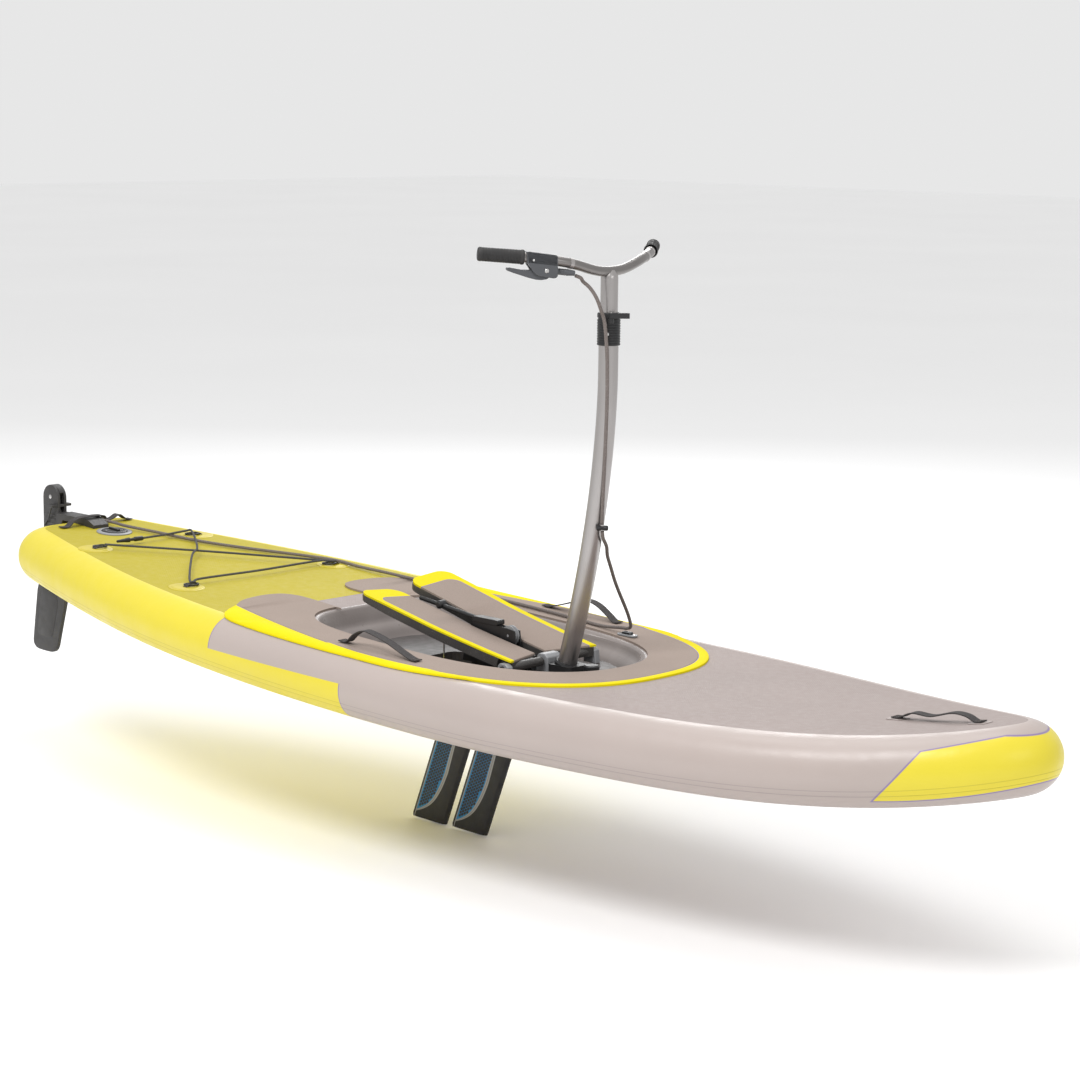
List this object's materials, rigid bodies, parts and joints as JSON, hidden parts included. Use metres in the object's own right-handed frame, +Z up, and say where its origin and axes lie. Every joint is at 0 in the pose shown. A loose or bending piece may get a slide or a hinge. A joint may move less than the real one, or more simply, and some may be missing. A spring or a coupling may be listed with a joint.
{
  "type": "pedal-driven inflatable stand-up board",
  "caption": "Inflatable board ridden standing: two hinged pedals swing a pair of flexible fins under it, and a handlebar lever steers a kick-up stern rudder.",
  "frame": {"origin": "on the flat of the hull's underside, just ahead of the mast, on the centreline", "axes": "+X towards the bow, +Y to port, +Z up"},
  "size_m": [3.5087, 0.895, 1.4691],
  "materials": {
    "hull_pvc": "satin",
    "eva_foam": "matte",
    "yellow_foam": "matte",
    "webbing": "matte",
    "black_plastic": "satin",
    "grey_plastic": "satin",
    "dark_plastic": "satin",
    "yellow_plastic": "satin",
    "cord": "matte",
    "sheath": "matte",
    "grip_rubber": "matte",
    "aluminium": "satin",
    "steel": "satin",
    "fin_rubber": "satin",
    "pedal_core": "matte"
  },
  "bodies": {
    "board": {"hull": "hull_pvc", "traction_pad": "eva_foam", "pad_border": "yellow_foam", "side_handle_right": "webbing", "side_handle_left": "webbing", "bow_handle": "webbing", "stern_handle": "webbing", "d_ring_aft_right": "black_plastic", "d_ring_aft_left": "black_plastic", "d_ring_fore_right": "black_plastic", "d_ring_fore_left": "black_plastic", "bungee_cord": "cord", "cord_lock": "black_plastic", "valve_body": "grey_plastic", "deck_saddle": "grey_plastic", "rudder_bracket": "dark_plastic", "rudder_pin": "steel", "drive_tray": "grey_plastic", "hinge_block_right": "grey_plastic", "hinge_block_left": "grey_plastic", "hinge_block_centre": "grey_plastic", "hinge_axle": "steel", "drive_spine": "black_plastic", "fin_shaft": "steel", "spine_cap": "grey_plastic", "drive_handle": "black_plastic", "mast_base": "black_plastic", "mast_tube": "aluminium", "mast_clamp": "black_plastic", "toggle": "black_plastic", "steering_line_lower": "sheath", "drive_cable_right": "steel", "drive_cable_left": "steel"},
    "pedal_right": {"pedal_right": "pedal_core", "pedal_pad_right": "eva_foam"},
    "pedal_left": {"pedal_left": "pedal_core", "pedal_pad_left": "eva_foam"},
    "fin_fore": {"fin_mast_fore": "black_plastic"},
    "fin_aft": {"fin_mast_aft": "black_plastic"},
    "sail_fore": {"fin_sail_fore": "fin_rubber"},
    "sail_aft": {"fin_sail_aft": "fin_rubber"},
    "idler": {"idler_pulley": "grey_plastic"},
    "lock_cam_right": {"lock_cam_right": "yellow_plastic"},
    "lock_cam_left": {"lock_cam_left": "yellow_plastic"},
    "rudder": {"rudder_housing": "dark_plastic", "tiller_arm": "dark_plastic", "blade_bolt": "steel"},
    "blade": {"rudder_blade": "dark_plastic"},
    "stem": {"stem": "aluminium", "handlebar": "aluminium", "grip_right": "grip_rubber", "grip_left": "grip_rubber", "lever_housing": "dark_plastic", "steering_line_upper": "sheath"},
    "steer_lever": {"steer_lever": "dark_plastic"},
    "clamp_lever": {"clamp_lever": "black_plastic"},
    "base_knob": {"base_knob": "black_plastic"},
    "valve_cap": {"valve_cap": "black_plastic"}
  },
  "joints": [
    {"name": "pedal_right_hinge", "type": "hinge", "parent": "board", "child": "pedal_right", "pos_m": [-0.2463, 0, 0.138], "axis": [0, 1, 0], "range_deg": [-12, 12], "deforming": ["drive_cable_right"]},
    {"name": "pedal_left_hinge", "type": "hinge", "parent": "board", "child": "pedal_left", "pos_m": [-0.2463, 0, 0.138], "axis": [0, 1, 0], "range_deg": [-12, 12], "deforming": ["drive_cable_left"]},
    {"name": "fin_fore_swing", "type": "hinge", "parent": "board", "child": "fin_fore", "pos_m": [-0.316, 0, 0.045], "axis": [1, 0, 0], "range_deg": [-45, 45]},
    {"name": "fin_aft_swing", "type": "hinge", "parent": "board", "child": "fin_aft", "pos_m": [-0.459, 0, 0.045], "axis": [1, 0, 0], "range_deg": [-45, 45]},
    {"name": "fin_fore_twist", "type": "hinge", "parent": "fin_fore", "child": "sail_fore", "pos_m": [-0.316, 0, 0.045], "axis": [-0.3609, 0, -0.9326], "range_deg": [-20, 20], "stiffness_Nm_per_rad": 0.5},
    {"name": "fin_aft_twist", "type": "hinge", "parent": "fin_aft", "child": "sail_aft", "pos_m": [-0.459, 0, 0.045], "axis": [-0.3609, 0, -0.9326], "range_deg": [-20, 20], "stiffness_Nm_per_rad": 0.5},
    {"name": "idler_spin", "type": "hinge", "parent": "board", "child": "idler", "pos_m": [-0.376, 0, 0.178], "axis": [0, 1, 0], "range_deg": [-48, 48]},
    {"name": "lock_cam_right_lift", "type": "hinge", "parent": "board", "child": "lock_cam_right", "pos_m": [-0.54, -0.118, 0.1045], "axis": [0, -1, 0], "range_deg": [0, 8]},
    {"name": "lock_cam_left_lift", "type": "hinge", "parent": "board", "child": "lock_cam_left", "pos_m": [-0.54, 0.118, 0.1045], "axis": [0, -1, 0], "range_deg": [0, 8]},
    {"name": "rudder_steer", "type": "hinge", "parent": "board", "child": "rudder", "pos_m": [-2.202, 0, 0.25], "axis": [0, 0, 1], "range_deg": [-35, 35]},
    {"name": "blade_kick_up", "type": "hinge", "parent": "rudder", "child": "blade", "pos_m": [-2.227, 0, 0.135], "axis": [0, 1, 0], "range_deg": [0, 90]},
    {"name": "stem_height", "type": "slide", "parent": "board", "child": "stem", "axis": [0, 0, 1], "range_m": [0, 0.1], "deforming": ["steering_line_upper"]},
    {"name": "steer_lever_pivot", "type": "hinge", "parent": "stem", "child": "steer_lever", "pos_m": [-0.10787, -0.17309, 1.07857], "axis": [-0.8503, 0.5263, 0], "range_deg": [-4.55, 4.55]},
    {"name": "clamp_lever_swing", "type": "hinge", "parent": "board", "child": "clamp_lever", "pos_m": [-0.04474, -0.01988, 0.9664], "axis": [0, 0, -1], "range_deg": [0, 95]},
    {"name": "base_knob_turn", "type": "hinge", "parent": "board", "child": "base_knob", "pos_m": [-0.108, 0, 0.125], "axis": [0, 0, 1], "continuous": true},
    {"name": "valve_cap_turn", "type": "hinge", "parent": "board", "child": "valve_cap", "pos_m": [-1.944, 0, 0.24222], "axis": [0.0685, 0, 0.9977], "range_deg": [0, 90]}
  ],
  "couplings": [
    {"joint": "pedal_left_hinge", "follows": "pedal_right_hinge", "ratio": -1},
    {"joint": "fin_fore_swing", "follows": "pedal_right_hinge", "ratio": 3.75},
    {"joint": "fin_aft_swing", "follows": "pedal_right_hinge", "ratio": -3.75},
    {"joint": "idler_spin", "follows": "pedal_right_hinge", "ratio": 4},
    {"joint": "steer_lever_pivot", "follows": "rudder_steer", "ratio": 0.13}
  ]
}
